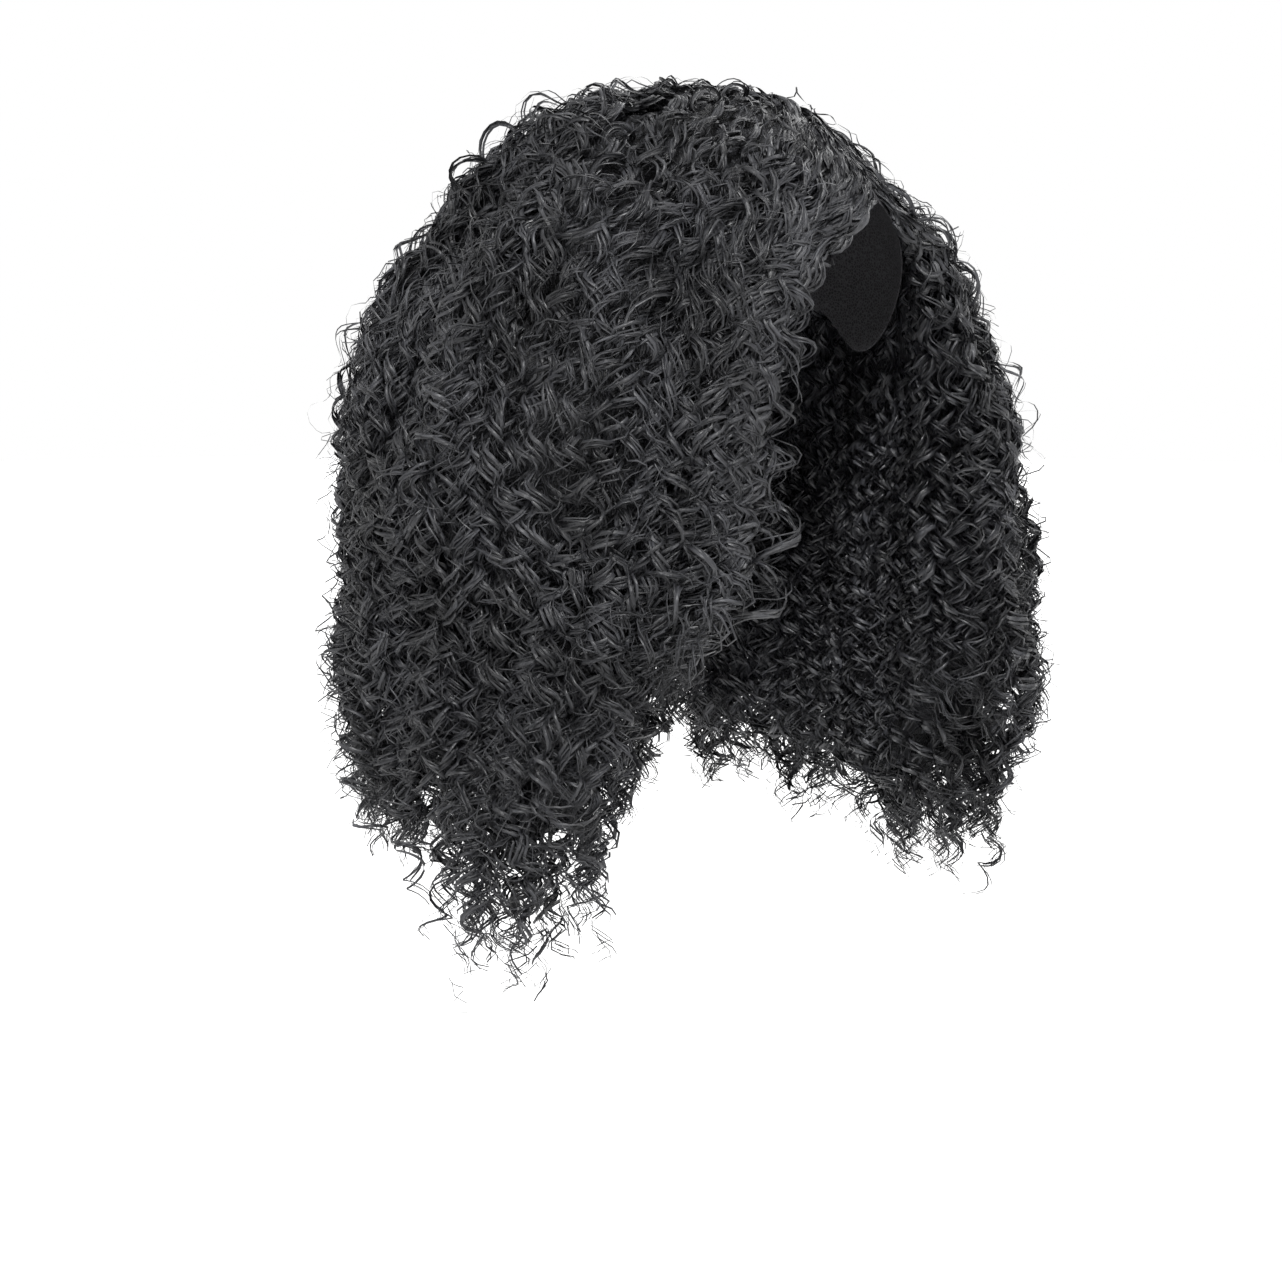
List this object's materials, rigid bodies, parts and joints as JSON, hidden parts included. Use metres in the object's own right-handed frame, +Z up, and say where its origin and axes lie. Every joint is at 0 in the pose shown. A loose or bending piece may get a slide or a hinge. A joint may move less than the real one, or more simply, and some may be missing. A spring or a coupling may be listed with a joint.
{
  "type": "afro wig",
  "caption": "Full shoulder-length black curly wig, parted on the wearer's left: a thin cap carries sections of long corkscrew curls around an open face",
  "frame": {"origin": "the top of the wearer's head, where the inside of the cap sits on it", "axes": "+Z is up, the face looks along -Y, and the wearer's left is +X"},
  "size_m": [0.3444, 0.2928, 0.4147],
  "materials": {
    "cap_fabric": "black stretch net cap, matte",
    "hair": "soft black synthetic curls with a low sheen"
  },
  "bodies": {
    "root": {"cap": "cap_fabric", "hair_front_left": "hair", "hair_side_left": "hair", "hair_back": "hair", "hair_side_right": "hair", "hair_front_right": "hair"}
  },
  "joints": []
}
